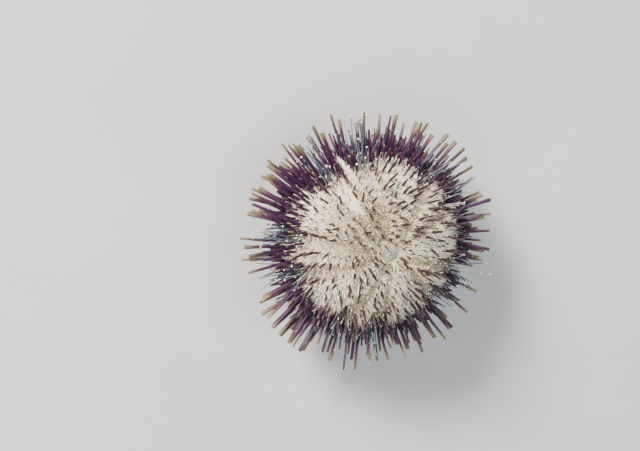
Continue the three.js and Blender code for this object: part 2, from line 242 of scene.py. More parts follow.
floor_paint = Paint("floor", 0.9, 0.1)
floor_paint.clouds(9.0, 3.0, (0.3, 176, 179, 181), (0.7, 184, 186, 187))
floor_points = FLOOR_HALF * np.array([[-1, -1, 0], [1, -1, 0], [1, 1, 0], [-1, 1, 0]])
floor = add_piece("floor", floor_points, np.arange(4), np.array([0]), floor_paint, None)

# The skin: the thin living skin over the whole shell, beige and a little wet, whitest in the bands
# and drawn into faint grooves at the pore zones. It is one closed surface on the solids' own
# outline, sunk over the mouth, and it takes the place of the ten sectors.
SHELL_RADIUS = 28.0
TOP_Z = 44.0
WIDEST_Z = 24.0
UNDERSIDE_Z = 6.5
UNDERSIDE_SQUARENESS = 0.82
FOLDS = 5
FOLD_ANGLE = 2 * np.pi / FOLDS
AMBULACRUM_ANGLE = np.radians(25)
FIRST_AMBULACRUM = np.pi / 2
SKIN_DEPTH = 0.15
GROOVE_DEPTH = 0.22
MOUTH_HOLLOW = 1.6
HOLLOW_RADII = (6.0, 7.2)
ROWS = 180
COLUMNS = 420
MAP_RADIUS = 0.235
BARE_WIDTH = [(0, 0.0), (13, 0.1), (18, 1.0), (23, 2.5), (28, 2.8)]
BAND_WIDTH = [(0, 1.5), (15, 3.0), (28, 5.0)]
LEAST_COAT = [(0, 0.8), (10, 0.7), (15, 0.45), (19, 0)]
chance = np.random.RandomState(7)


def along(pairs, x):
    """The value at x on the straight lines that join the pairs."""
    return np.interp(x, [pair[0] for pair in pairs], [pair[1] for pair in pairs])


def unit(vectors):
    """The same directions, each one long."""
    return vectors / np.linalg.norm(vectors, axis=-1, keepdims=True)


def outline(turn):
    """Radius, height and outward direction (out, up) of the shell's outline. turn goes from 0 at
    the top pole to pi at the bottom. The radius is the widest one times the sine of the turn, the
    height is half the shell's times its cosine, and both are raised to a power on the underside,
    which squares it. The direction is the slope of that curve, turned by a right angle."""
    on_top = turn < np.pi / 2
    half = np.where(on_top, TOP_Z - WIDEST_Z, WIDEST_Z - UNDERSIDE_Z)
    power = np.where(on_top, 1.0, UNDERSIDE_SQUARENESS)
    cosine = np.cos(turn)
    out = np.clip(np.sin(turn), 0, 1) ** power
    up = np.sign(cosine) * np.abs(cosine) ** power
    slope = 2 / power - 1
    normal = np.stack([out**slope / SHELL_RADIUS, np.sign(up) * np.abs(up) ** slope / half], -1)
    return SHELL_RADIUS * out, WIDEST_Z + half * up, unit(normal)


def on_shell(turn, azimuth, lift=0.0):
    """Points of the shell and their outward directions: the outline's point at this turn, carried
    round the axis to the azimuth and lifted off the shell by some millimetres."""
    radius, height, normal = outline(turn)
    level = np.stack([np.cos(azimuth), np.sin(azimuth)], -1)
    out = np.concatenate([normal[..., :1] * level, normal[..., 1:]], -1)
    place = np.concatenate([radius[..., None] * level, height[..., None]], -1) + AXIS
    return place + out * np.asarray(lift)[..., None], out


def skin_map(turn, azimuth, on_top=None):
    """The unwrap of the skin: the top as a disc on the left of the map, the underside as a disc
    on the right, with the distance from the pole kept."""
    on_top = turn <= np.pi / 2 if on_top is None else on_top
    radius = MAP_RADIUS * np.where(on_top, turn, np.pi - turn) / (np.pi / 2)
    middle = np.where(on_top, 0.25, 0.75)
    return np.stack([middle + radius * np.cos(azimuth), 0.5 + radius * np.sin(azimuth)], -1)


def from_pore_zone(turn, azimuth):
    """Distance along the surface, in millimetres, to the middle of the nearest pore zone: the
    angle to the nearest edge of an ambulacrum, times the radius."""
    wrapped = (azimuth - FIRST_AMBULACRUM + FOLD_ANGLE / 2) % FOLD_ANGLE - FOLD_ANGLE / 2
    return np.abs(np.abs(wrapped) - AMBULACRUM_ANGLE / 2) * outline(turn)[0]


def waves(turn, azimuth, seed):
    """A smooth, slowly varying number from about -1 to 1 over the shell: a sum of six sine waves
    with random directions."""
    place = on_shell(turn, azimuth)[0] / SHELL_RADIUS
    picked = np.random.RandomState(seed)
    total = np.zeros(np.shape(turn))
    for _ in range(6):
        total += np.sin(place @ picked.uniform(-6, 6, 3) + picked.uniform(0, 6.28))
    return total / 3


def markings(turn, azimuth):
    """How thick the coat is, from 0 in the pore zones to 1 in the bands between them, and how white
    the animal is there, from 0 to 1. Both grow with the distance to a pore zone, less its bare
    width, which grows towards the widest line. On the top the coat has a least thickness."""
    radius = outline(turn)[0]
    gap = from_pore_zone(turn, azimuth)
    bare = along(BARE_WIDTH, radius) * (1 + 0.4 * waves(turn, azimuth, 5))
    thickness = np.clip((gap - bare) / 1.2, 0, 1)
    thickness = np.maximum(thickness, along(LEAST_COAT, radius) * (turn < 1.5))
    band = np.clip((gap - bare * 0.6) / along(BAND_WIDTH, radius), 0, 1)
    return thickness, np.clip(1.3 * band - 0.26 + 0.26 * waves(turn, azimuth, 9), 0, 1)


def set_map(piece, name, places):
    """A UV map from one (u, v) place for each face corner."""
    layer = piece.data.uv_layers.new(name=name)
    layer.data.foreach_set("uv", places.astype(np.float32).ravel())


def set_values(piece, name, values):
    """A named number for each point of a piece, which its material reads."""
    attribute = piece.data.attributes.new(name, "FLOAT", "POINT")
    attribute.data.foreach_set("value", values.astype(np.float32).ravel())


skin_turn = np.linspace(0, np.pi, ROWS + 1)[1:-1]
skin_azimuth = np.arange(COLUMNS) * 2 * np.pi / COLUMNS
turn, azimuth = np.meshgrid(skin_turn, skin_azimuth, indexing="ij")
pore_distance = from_pore_zone(turn, azimuth)
skin_white = markings(turn, azimuth)[1]
groove = -GROOVE_DEPTH * np.exp(-((pore_distance / 1.6) ** 2))
ripple = 0.12 * waves(turn, azimuth, 3) + 0.08 * waves(turn * 2.2, azimuth, 4)
hollow_outline = [(0, MOUTH_HOLLOW), (HOLLOW_RADII[0], MOUTH_HOLLOW), (HOLLOW_RADII[1], 0)]
hollow = along(hollow_outline, outline(turn)[0]) * (turn > np.pi / 2)
skin_points = on_shell(turn, azimuth, groove + ripple - SKIN_DEPTH - hollow)[0].reshape(-1, 3)
poles = np.array([[0, 0, TOP_Z - SKIN_DEPTH], [0, 0, UNDERSIDE_Z + SKIN_DEPTH + MOUTH_HOLLOW]]) + AXIS
skin_points = np.concatenate([skin_points, poles])
top_pole, bottom_pole = len(skin_points) - 2, len(skin_points) - 1

row, column = np.meshgrid(np.arange(ROWS - 2), np.arange(COLUMNS), indexing="ij")
upper, lower = row * COLUMNS, (row + 1) * COLUMNS
after = (column + 1) % COLUMNS
quads = np.stack([upper + column, lower + column, lower + after, upper + after], -1).reshape(-1, 4)
first = np.arange(COLUMNS)
second = (first + 1) % COLUMNS
last_row = (ROWS - 2) * COLUMNS
top_fan = np.stack([np.full(COLUMNS, top_pole), first, second], -1)
bottom_fan = np.stack([np.full(COLUMNS, bottom_pole), last_row + second, last_row + first], -1)
loops = np.concatenate([quads.ravel(), top_fan.ravel(), bottom_fan.ravel()])
starts = np.concatenate([np.arange(len(quads)) * 4, len(quads) * 4 + np.arange(2 * COLUMNS) * 3])

turn_of_point = np.concatenate([turn.ravel(), [0, np.pi]])
azimuth_of_point = np.concatenate([azimuth.ravel(), [0, 0]])
fan_is_top = np.repeat([True, False], COLUMNS)
face_is_top = np.concatenate([turn_of_point[quads].mean(1) < np.pi / 2, fan_is_top])
corners_of_face = np.repeat([4, 3], [len(quads), 2 * COLUMNS])
corner_is_top = np.repeat(face_is_top, corners_of_face)

skin_paint = Paint("living_skin", 0.5, 0.45)
fine = skin_paint.noise(900.0, 4.0)
patches = skin_paint.noise(160.0, 3.0)
beige = skin_paint.shades(patches, (0.3, 172, 159, 138), (0.5, 189, 177, 156), (0.75, 204, 193, 172))
pore_share = skin_paint.sum("MULTIPLY", skin_paint.value("PoreZone"), 0.55)
beige = skin_paint.mix(pore_share, beige, srgb(183, 172, 151))
white_share = skin_paint.sum("MULTIPLY", skin_paint.value("Whiteness"), 0.6)
beige = skin_paint.mix(white_share, beige, srgb(224, 214, 194))
speckle = skin_paint.shades(fine, (0.34, 160, 132, 120), (0.46, 255, 255, 255))
skin_paint.colour(skin_paint.mix(0.35, beige, speckle, "MULTIPLY"))
skin_paint.rough(fine, 0.38, 0.6)
skin_paint.bump(skin_paint.sum("ADD", fine, skin_paint.noise(2600.0, 2.0)), 0.14)
sectors = [f"{kind}_{number}" for kind in ("ambulacrum", "interambulacrum") for number in range(1, 6)]
skin = add_piece("skin", skin_points, loops, starts, skin_paint, "shell_and_spines", sectors)
set_map(skin, "OFBake", skin_map(turn_of_point[loops], azimuth_of_point[loops], corner_is_top))
set_values(skin, "Whiteness", np.concatenate([skin_white.ravel(), [0.3, 0.3]]))
set_values(skin, "PoreZone", np.concatenate([np.exp(-((pore_distance / 2.0) ** 2)).ravel(), [0, 0]]))

# The white coat: thousands of fine short spines, chalky and almost white, thickest along the
# middle of every sector and nearly missing from the pore zones. Each is a thin three-sided taper
# that stands on the skin and leans a little away from the top.
COAT_SPACING = 0.36
COAT_LENGTH = [(-1, 3.0), (-0.4, 3.5), (0.0, 4.0), (0.25, 3.8), (0.5, 3.1), (0.9, 2.3), (1, 1.9)]
COAT_ZONES = [
    ("coat_top", 0.0, 0.95), ("coat_shoulder", 0.95, 1.32), ("coat_side", 1.32, 1.65),
    ("coat_underside", 1.65, 2.25), ("coat_round_mouth", 2.25, 3.15),
]
COAT_TAPER = (1.15, 1.0, 0.5)
VENT_EDGE = 2.8
APICAL_RADIUS = 5.0
PERISTOME_RADIUS = 7.0
GOLDEN_ANGLE = 2.399963
PATCH_WIDTH = 0.003
SPREAD = 46.3
TIP_SPARE = 0.6
solids_low = np.array(cad_low) / MM
solids_high = np.array(cad_high) / MM


def turn_at_radius(radius, on_top):
    """The turn at which the outline has this radius: the outline's own formula the other way."""
    share = radius / SHELL_RADIUS
    return np.arcsin(share) if on_top else np.pi - np.arcsin(share ** (1 / UNDERSIDE_SQUARENESS))


FIRST_TURN = turn_at_radius(APICAL_RADIUS + 0.3, True)
LAST_TURN = turn_at_radius(PERISTOME_RADIUS + 0.3, False)


def even_places(spacing, first_turn, last_turn):
    """Places spread evenly over a zone of the shell: a spiral from the top in which every next
    place is one golden angle further round, with equal area to each."""
    turns = np.linspace(first_turn, last_turn, 2000)
    radius, height, _ = outline(turns)
    steps = np.hypot(np.diff(radius), np.diff(height)) * np.pi * (radius[1:] + radius[:-1])
    area = np.concatenate([[0], np.cumsum(steps)])
    count = int(area[-1] / spacing**2)
    index = np.arange(count)
    turn = np.interp((index + 0.5) / count * area[-1], area, turns)
    return turn, (index * GOLDEN_ANGLE) % (2 * np.pi)


def kept(keep, *arrays):
    """Each of the arrays, with only the places to keep."""
    return [numbers[keep] for numbers in arrays]


def leaning(out, round_lean, down_lean):
    """Outward directions leant round the animal and down its side by these angles: the direction
    plus the tangent of each angle times the direction that way, made one long again."""
    round_way = np.stack([-out[:, 1], out[:, 0], np.zeros(len(out))], -1)
    round_way /= np.linalg.norm(round_way, axis=1, keepdims=True) + 1e-9
    down = np.cross(round_way, out)
    return unit(out + round_way * np.tan(round_lean)[:, None] + down * np.tan(down_lean)[:, None])


def inside_box(root, ahead, length, spare=TIP_SPARE, spread=SPREAD):
    """Lengths cut so that every tip stays inside the solids' box and above the floor, and no
    further from the axis than the spread: the longer root of a quadratic in the length."""
    start, step = (root - AXIS)[:, :2], ahead[:, :2]
    slant = (step**2).sum(1) + 1e-6
    along_step = (start * step).sum(1)
    short = spread**2 - (start**2).sum(1)
    limit = (np.sqrt(along_step**2 + slant * short) - along_step) / slant
    for side in range(3):
        step = ahead[:, side]
        pace = np.maximum(np.abs(step), 1e-4)
        to_high = solids_high[side] - spare - root[:, side]
        to_low = root[:, side] - solids_low[side]
        room = np.where(step > 0, to_high, to_low)
        limit = np.minimum(limit, np.where(np.abs(step) > 1e-4, room / pace, 1e3))
    return np.minimum(length, limit)


def sideways(ahead, turned):
    """A direction at right angles to each shaft, turned round it by an angle: the cosine of the
    angle times one such direction, plus its sine times the other."""
    helper = np.where(np.abs(ahead[:, 2:]) < 0.9, np.array([[0, 0, 1.0]]), np.array([[1.0, 0, 0]]))
    one = unit(np.cross(ahead, helper))
    two = np.cross(ahead, one)
    return one * np.cos(turned)[:, None] + two * np.sin(turned)[:, None]


def any_side(ahead):
    """A direction at right angles to each shaft, turned round it by chance."""
    return sideways(ahead, chance.uniform(0, 6.28, len(ahead)))


def ring_reach(length, sunk, shares):
    """How far from the root each ring of each shaft is: the first is sunk into the skin, and the
    others stand at these shares of the length."""
    return np.concatenate([np.full((len(length), 1), -sunk), np.outer(length, shares)], 1)


def grow(name, root, ahead, side, reach, wide, thick, bend, map_root, paint, slot, sides, values=()):
    """Many tapered shafts in one mesh, closed by flat caps. Each ring is an ellipse, at its reach
    from the root, with its two half widths, and moved sideways by the bend times the square of the
    share of the length. On the map a shaft is a small patch at its root's place."""
    count, rings = reach.shape
    share = np.clip(reach / reach[:, -1:], 0, 1)
    other = np.cross(ahead, side)
    angle = np.arange(sides) * 2 * np.pi / sides
    middle = root[:, None] + ahead[:, None] * reach[..., None] + bend[:, None] * share[..., None] ** 2
    points = (
        middle[:, :, None]
        + side[:, None, None] * (wide[..., None] * np.cos(angle))[..., None]
        + other[:, None, None] * (thick[..., None] * np.sin(angle))[..., None]
    )
    points[..., 2] = np.maximum(points[..., 2], 0.0)
    shaft = np.arange(count)[:, None, None] * rings * sides
    lower = shaft + np.arange(rings - 1)[None, :, None] * sides
    upper = lower + sides
    step = np.arange(sides)[None, None, :]
    following = (step + 1) % sides
    quads = np.stack([lower + step, lower + following, upper + following, upper + step], -1)
    root_cap = shaft[:, 0] + np.arange(sides)[::-1]
    tip_cap = shaft[:, 0] + (rings - 1) * sides + np.arange(sides)
    loops = np.concatenate([quads.ravel(), root_cap.ravel(), tip_cap.ravel()])
    total = count * (rings - 1) * sides
    starts = np.concatenate([np.arange(total) * 4, total * 4 + np.arange(2 * count) * sides])
    caps = np.arange(total, total + 2 * count)
    piece = add_piece(name, points.reshape(-1, 3), loops, starts, paint, slot, flat=caps)

    around = np.broadcast_to(np.stack([step, step + 1, step + 1, step], -1) / sides, quads.shape)
    near = np.broadcast_to(share[:, :-1, None], quads.shape[:3])
    far = np.broadcast_to(share[:, 1:, None], quads.shape[:3])
    height = np.stack([near, near, far, far], -1)
    cap_around = np.broadcast_to(0.5 + 0.2 * np.cos(angle), (count, sides))
    cap_height = np.repeat([0.02, 0.98], count * sides)
    across = np.concatenate([around.ravel(), cap_around[:, ::-1].ravel(), cap_around.ravel()])
    patch = np.stack([across, np.concatenate([height.ravel(), cap_height])], -1)
    wall_owner = np.repeat(np.arange(count), (rings - 1) * sides * 4)
    cap_owner = np.repeat(np.arange(count), sides)
    owner = np.concatenate([wall_owner, cap_owner, cap_owner])
    set_map(piece, "OFBake", map_root[owner] + (patch - 0.5) * PATCH_WIDTH)
    set_map(piece, "Length", patch)
    set_values(piece, "Along", np.repeat(share.ravel(), sides))
    for key, numbers in dict(values).items():
        set_values(piece, key, np.repeat(numbers, rings * sides))
    return piece


turn, azimuth = even_places(COAT_SPACING, turn_at_radius(VENT_EDGE, True), LAST_TURN)
thickness, whiteness = markings(turn, azimuth)
thinning = np.where(turn < 1.65, 1, 0.85)
keep = chance.uniform(0, 1, len(turn)) < (0.08 + 0.92 * thickness) * thinning
turn, azimuth, thickness, whiteness = kept(keep, turn, azimuth, thickness, whiteness)
count = len(turn)
turn = turn + chance.uniform(-1, 1, count) * 0.25 / SHELL_RADIUS
root, out = on_shell(turn, azimuth)
length = along(COAT_LENGTH, out[:, 2]) * (0.40 + 0.60 * thickness) * chance.uniform(0.62, 1.15, count)
round_lean = 0.12 * waves(turn, azimuth, 11) + chance.normal(0, 0.11, count)
ahead = leaning(out, round_lean, 0.12 + chance.normal(0, 0.11, count))
length = inside_box(root, ahead, length)
half = chance.uniform(0.085, 0.145, count)
whiteness = np.clip(whiteness + chance.normal(0, 0.14, count), 0, 1)
side = any_side(ahead)
bend = side * (chance.normal(0, 0.05, count) * length)[:, None]

coat_paint = Paint("white_coat", 0.55, 0.35)
coat_along = coat_paint.value("Along")
cream_stops = [(0.0, 196, 177, 144), (0.35, 214, 197, 159), (0.8, 230, 215, 179), (1.0, 225, 209, 173)]
white_stops = [(0.0, 232, 217, 188), (0.35, 252, 242, 213), (1.0, 255, 249, 228)]
cream, white = coat_paint.shades(coat_along, *cream_stops), coat_paint.shades(coat_along, *white_stops)
coat_colour = coat_paint.mix(coat_paint.value("Whiteness"), cream, white)
grain = coat_paint.noise(1400.0, 2.0)
dust = coat_paint.ramp(grain, [(0.3, (0.6, 0.58, 0.55, 1)), (0.6, (1, 1, 1, 1))])
coat_paint.colour(coat_paint.mix(0.15, coat_colour, dust, "MULTIPLY"))
coat_paint.bump(grain, 0.02)
coat_paint.set({"Subsurface Weight": 0.3, "Subsurface Radius": (1.0, 0.8, 0.62), "Subsurface Scale": 0.0005})

reach = ring_reach(length, 0.4, (0.45, 1.0))
half = np.outer(half, COAT_TAPER)
coat = (root, ahead, side, reach, half, half, bend, skin_map(turn, azimuth))
for name, zone_start, zone_end in COAT_ZONES:
    zone = (turn >= zone_start) & (turn < zone_end)
    own = {"Whiteness": whiteness[zone]}
    grow(name, *kept(zone, *coat), coat_paint, "shell_and_spines", 3, own)

# The large spines: on the top short dark maroon pegs, round the widest line long flat purple
# blades, the outer ones with square khaki tan tips, and under the shell pale ones with broad ends
# to stand on. They stand in rows down the plates of every sector, with a swelling at the root.
SPINE_ROWS = 24
SPINE_SPACING = 2.6
PLATE_EDGE = (1.1, 0.09)
AMBULACRUM_ROWS = 27
AMBULACRUM_SPACING = 3.1
PORE_EDGE = (1.5, 0.1)
THINNED_RADIUS = 11.0
DISC_SPINE_RADIUS = 3.8
CLOSEST_ROOTS = 1.25
CLOSEST_TIPS = 2.3
MAROON_ABOVE = 0.42
PALE_BELOW = -0.55
GROOVES = 14
SPINE_LENGTH = [
    (-1, 7.3), (-0.8, 10.2), (-0.45, 14), (-0.15, 17.6), (0.15, 19.0), (0.30, 13.6),
    (0.45, 8.0), (0.60, 7.0), (0.75, 6.9), (0.97, 6.3), (1, 4.9),
]
ROOT_HALF = [(-1, 0.46), (0, 0.58), (0.4, 0.56), (1, 0.52)]
TIP_WIDE = [(-1, 0.66), (-0.3, 0.84), (0.15, 0.82), (0.35, 0.46), (0.5, 0.36), (1, 0.33)]
TIP_THICK = [(-1, 0.34), (-0.3, 0.38), (0.15, 0.36), (0.35, 0.34), (0.5, 0.32), (1, 0.30)]
TIP_SHARE = (0, 0, 0, 0, 0.28, 0.62, 1.0, 1.0)
SWELLING = (0.9, 1.0, 1.3, 0.95, 0.94, 0.96, 1.0, 0.84)
SMALL_SHARE = [(-1, 0.15), (0.2, 0.25), (0.4, 0.42), (1, 0.5)]
LOOSENESS = [(-1, 0.08), (0.2, 0.08), (0.5, 0.09), (1, 0.17)]
DARK_TIPS = [(0.0, 0.06), (0.15, 0.30), (0.35, 0.75)]


def turn_of_row(share):
    """The turn of a row of plates, at a share of the way down. Plates are tallest round the widest
    line: the share less a small sine wave over the whole way."""
    return FIRST_TURN + (LAST_TURN - FIRST_TURN) * (share - 0.045 * np.sin(2 * np.pi * share))


def row_of_spines(turn, start, way, half_angle, edge, spacing):
    """Places on one side of a row of plates: as many as fit at this spacing, evenly apart from
    start, over the half angle times the radius, less an edge that narrows with the radius."""
    radius = float(outline(np.array(turn))[0])
    room = half_angle * radius - min(edge[0], edge[1] * radius)
    many = max(1, round(room / spacing))
    return [(turn, start + way * room * (place + 0.5) / many / radius) for place in range(many)]


def roomy(root, gap):
    """The numbers of the roots to keep when each that is nearer than the gap to one kept before
    it is dropped."""
    numbers = [0]
    for number in range(1, len(root)):
        if np.linalg.norm(root[numbers] - root[number], axis=1).min() > gap:
            numbers.append(number)
    return numbers


def kept_apart(root, ahead, length, gap):
    """Directions turned a little, eight times over, by half of what any two tips lack to the gap."""
    for _ in range(8):
        tip = root + ahead * length[:, None]
        away = tip[:, None] - tip[None]
        apart = np.linalg.norm(away, axis=2) + 1e-6
        push = np.clip(gap - apart, 0, gap) * (apart > 1e-5)
        tip = tip + 0.5 * (away * (push / apart)[..., None]).sum(1)
        ahead = unit(tip - root)
    return ahead


def spine_material(name, roughness, *stops):
    """A satin spine: its colour runs from the root to the tip, moved a little along it from spine
    to spine, with lengthwise grooves (a sine wave round the shaft, bent by a cloudy pattern) whose
    hollows are painted darker as shade, and a brightness of its own."""
    paint = Paint(name, roughness, 0.5)
    wander = paint.sum("MULTIPLY_ADD", paint.noise(700.0, 2.0), 0.10, -0.05)
    moved = paint.sum("ADD", paint.value("Along"), paint.value("Shift"))
    colour = paint.shades(paint.sum("ADD", moved, wander, clamp=True), *stops)
    where = paint.node("ShaderNodeUVMap", uv_map="Length").outputs["UV"]
    stretch = {0: where, 1: (9.0, 5.0, 1.0)}
    stretched = paint.node("ShaderNodeVectorMath", stretch, operation="MULTIPLY").outputs[0]
    uneven = paint.noise(1.0, 3.0, where=stretched)
    around = paint.node("ShaderNodeSeparateXYZ", {0: where}).outputs[0]
    bent = paint.sum("MULTIPLY", uneven, 5.0)
    turned = paint.sum("MULTIPLY_ADD", around, GROOVES * 2 * math.pi, bent)
    grooves = paint.sum("MULTIPLY_ADD", paint.sum("SINE", turned, 0.0), 0.32, uneven)
    # Painted shade: the colour is made darker in the hollows of the grooves, where shade would fall.
    groove_shade = paint.ramp(grooves, [(0.12, (0.50, 0.46, 0.50, 1)), (0.75, (1, 1, 1, 1))])
    colour = paint.mix(0.45, colour, groove_shade, "MULTIPLY")
    brightness = [(0.0, (0.64, 0.64, 0.68, 1)), (1.0, (1.04, 1.0, 1.02, 1))]
    paint.colour(paint.mix(1.0, colour, paint.ramp(paint.value("Chance"), brightness), "MULTIPLY"))
    paint.bump(grooves, 0.09)
    paint.rough(uneven, roughness, roughness + 0.16)
    return paint


spots = []
for fold in range(FOLDS):
    narrow_middle = FIRST_AMBULACRUM + fold * FOLD_ANGLE
    broad_middle = narrow_middle + FOLD_ANGLE / 2
    broad_half = (FOLD_ANGLE - AMBULACRUM_ANGLE) / 2
    for side in (-1, 1):
        for row in range(SPINE_ROWS):
            turn = turn_of_row((row + 0.5 + side * 0.25) / SPINE_ROWS)
            spots += row_of_spines(turn, broad_middle, side, broad_half, PLATE_EDGE, SPINE_SPACING)
        for row in range(AMBULACRUM_ROWS):
            turn = turn_of_row((row + 0.5 + side * 0.25) / AMBULACRUM_ROWS)
            if row % 2 and outline(np.array(turn))[0] < THINNED_RADIUS:
                continue
            half_angle = AMBULACRUM_ANGLE / 2
            spots += row_of_spines(turn, narrow_middle, side, half_angle, PORE_EDGE, AMBULACRUM_SPACING)
    for aside in (-0.32, 0.32):
        spots.append((turn_at_radius(DISC_SPINE_RADIUS, True), broad_middle + aside))
spots = np.array(spots)
count = len(spots)
turn = np.clip(spots[:, 0] + chance.normal(0, 0.30, count) / SHELL_RADIUS, 0.1, LAST_TURN)
azimuth = spots[:, 1] + chance.normal(0, 0.28, count) / outline(turn)[0]
turn, azimuth = kept(roomy(on_shell(turn, azimuth)[0], CLOSEST_ROOTS), turn, azimuth)
root, out = on_shell(turn, azimuth)
count = len(turn)
facing = out[:, 2]
small = chance.uniform(0, 1, count) < along(SMALL_SHARE, facing)
small_size = chance.uniform(0.34, 0.72, count)
size_share = np.where(small, small_size, chance.normal(0.97, 0.09, count).clip(0.75, 1.12))
size_share = size_share * (1 + 0.12 * waves(turn, azimuth, 31))
length = along(SPINE_LENGTH, facing) * np.minimum(size_share, 1.12)
small_stout = chance.uniform(0.50, 0.72, count)
stout = np.where(small, small_stout, chance.normal(1.0, 0.08, count))
loose = along(LOOSENESS, facing)
leans = [0.10 * waves(turn, azimuth, seed) + chance.normal(0, 1, count) * loose for seed in (21, 22)]
ahead = leaning(out, *leans)
length = inside_box(root, ahead, length)
ahead = kept_apart(root, ahead, length, CLOSEST_TIPS)
length = inside_box(root, ahead, length)
side = any_side(ahead)
bend = np.cross(ahead, side) * (chance.normal(0, 0.025, count) * length)[:, None]

size = length[:, None]
collar = np.outer(np.minimum(1, stout), (-1.0, 0.25, 0.75, 1.35))
reach = np.concatenate([collar, size * 0.5, size * 0.8, size - 0.18, size], 1)
root_half = (along(ROOT_HALF, facing) * stout)[:, None]
tip_wide = (along(TIP_WIDE, facing) * (0.4 + 0.6 * stout))[:, None]
tip_thick = (along(TIP_THICK, facing) * (0.4 + 0.6 * stout))[:, None]
tip_share = np.array([TIP_SHARE])
wide = (root_half * (1 - tip_share) + tip_wide * tip_share) * np.array([SWELLING])
thick = (root_half * (1 - tip_share) + tip_thick * tip_share) * np.array([SWELLING])

maroon_paint = spine_material(
    "maroon_spine", 0.42,
    (0.0, 206, 182, 162), (0.2, 140, 106, 100), (0.3, 62, 32, 40),
    (0.6, 45, 20, 28), (0.94, 54, 28, 34), (1.0, 78, 52, 50),
)
purple_paint = spine_material(
    "purple_spine", 0.36,
    (0.0, 80, 46, 80), (0.12, 49, 15, 60), (0.45, 58, 18, 62), (0.66, 62, 23, 58),
    (0.79, 80, 46, 57), (0.86, 103, 87, 62), (1.0, 124, 113, 80),
)
pale_paint = spine_material(
    "underside_spine", 0.4,
    (0.0, 150, 120, 140), (0.3, 128, 84, 118), (0.6, 160, 128, 140),
    (0.82, 196, 180, 160), (1.0, 208, 198, 174),
)
brightness = chance.uniform(0, 1, count)
dark_tip = chance.uniform(0, 1, count) < np.where(small, 0.85, along(DARK_TIPS, facing))
dark_shift = chance.uniform(-0.34, -0.20, count)
shift = np.where(dark_tip, dark_shift, chance.normal(0, 0.035, count))
shift = np.where(facing > MAROON_ABOVE, chance.normal(0, 0.05, count), shift)
border = facing + chance.normal(0, 0.04, count)
spines = (root, ahead, side, reach, wide, thick, bend, skin_map(turn, azimuth))
for name, zone, paint in [
    ("maroon_spines", border > MAROON_ABOVE, maroon_paint),
    ("purple_spines", (border <= MAROON_ABOVE) & (border > PALE_BELOW), purple_paint),
    ("underside_spines", border <= PALE_BELOW, pale_paint),
]:
    own = {"Chance": brightness[zone], "Shift": shift[zone]}
    grow(name, *kept(zone, *spines), paint, "purple_spine", 6, own)

# The slender spines: thin, lavender to white, between the large ones near the widest line and a
# little above and below it. Each is a five-sided taper, flatter towards its tip.
SLIM_SPACING = 2.5
SLIM_ZONE = (1.0, 2.15)
SLIM_GAP = 1.6
SLIM_LENGTH = [(-0.6, 5.5), (0.0, 8.5), (0.3, 7.0), (0.6, 4.8)]


def leaning_loosely(out, round_spread, down_spread):
    """Outward directions leant round the animal and down its side by chance, with these spreads."""
    round_lean = chance.normal(0, round_spread, len(out))
    return leaning(out, round_lean, chance.normal(0, down_spread, len(out)))


def stand(turn, azimuth, lengths, shares, round_spread, down_spread, *limits):
    """Roots, outward directions, leant directions and lengths of the shafts at these places. A
    length is the table's for how far up the skin faces, times a random share, cut to the box."""
    root, out = on_shell(turn, azimuth)
    length = along(lengths, out[:, 2]) * chance.uniform(*shares, len(root))
    ahead = leaning_loosely(out, round_spread, down_spread)
    return root, out, ahead, inside_box(root, ahead, length, *limits)


turn, azimuth = even_places(SLIM_SPACING, *SLIM_ZONE)
keep = (from_pore_zone(turn, azimuth) > SLIM_GAP) & (chance.uniform(0, 1, len(turn)) < 0.85)
turn, azimuth = kept(keep, turn, azimuth)
count = len(turn)
root, _, ahead, length = stand(turn, azimuth, SLIM_LENGTH, (0.7, 1.15), 0.15, 0.15)
half = chance.uniform(0.17, 0.26, count)
slim_paint = spine_material(
    "slender_spine", 0.4,
    (0.0, 210, 196, 184), (0.4, 180, 160, 178), (0.7, 156, 130, 158), (1.0, 206, 198, 188),
)
grow(
    "slender_spines", root, ahead, any_side(ahead),
    ring_reach(length, 0.4, (0.4, 0.8, 1.0)),
    np.outer(half, (1.2, 1.0, 0.85, 0.6)),
    np.outer(half, (1.2, 1.0, 0.7, 0.4)),
    any_side(ahead) * (0.04 * length)[:, None],
    skin_map(turn, azimuth), slim_paint, "purple_spine", 5,
    {"Chance": chance.uniform(0, 1, count), "Shift": chance.normal(0, 0.06, count)},
)

# The small purple spines: short, narrow and dark to the tip, crowded between the large ones round
# the widest line. They are flat towards the end like the large ones.
PURPLE_SPACING = 1.6
PURPLE_ZONE = (1.25, 2.2)
PURPLE_GAP = 1.5
PURPLE_LENGTH = [(-0.7, 6.0), (-0.2, 9.5), (0.2, 8.5), (0.4, 6.5)]

turn, azimuth = even_places(PURPLE_SPACING, *PURPLE_ZONE)
turn, azimuth = kept(from_pore_zone(turn, azimuth) > PURPLE_GAP, turn, azimuth)
count = len(turn)
root, _, ahead, length = stand(turn, azimuth, PURPLE_LENGTH, (0.7, 1.25), 0.13, 0.13)
half = chance.uniform(0.26, 0.40, count)
grow(
    "small_purple_spines", root, ahead, any_side(ahead),
    ring_reach(length, 0.5, (0.3, 0.65, 0.92, 1.0)),
    np.outer(half, (1.2, 1.0, 1.0, 1.05, 0.95)),
    np.outer(half, (1.2, 1.0, 0.85, 0.65, 0.55)),
    any_side(ahead) * (0.03 * length)[:, None],
    skin_map(turn, azimuth), purple_paint, "purple_spine", 6,
    {"Chance": chance.uniform(0, 1, count), "Shift": chance.uniform(-0.40, -0.16, count)},
)

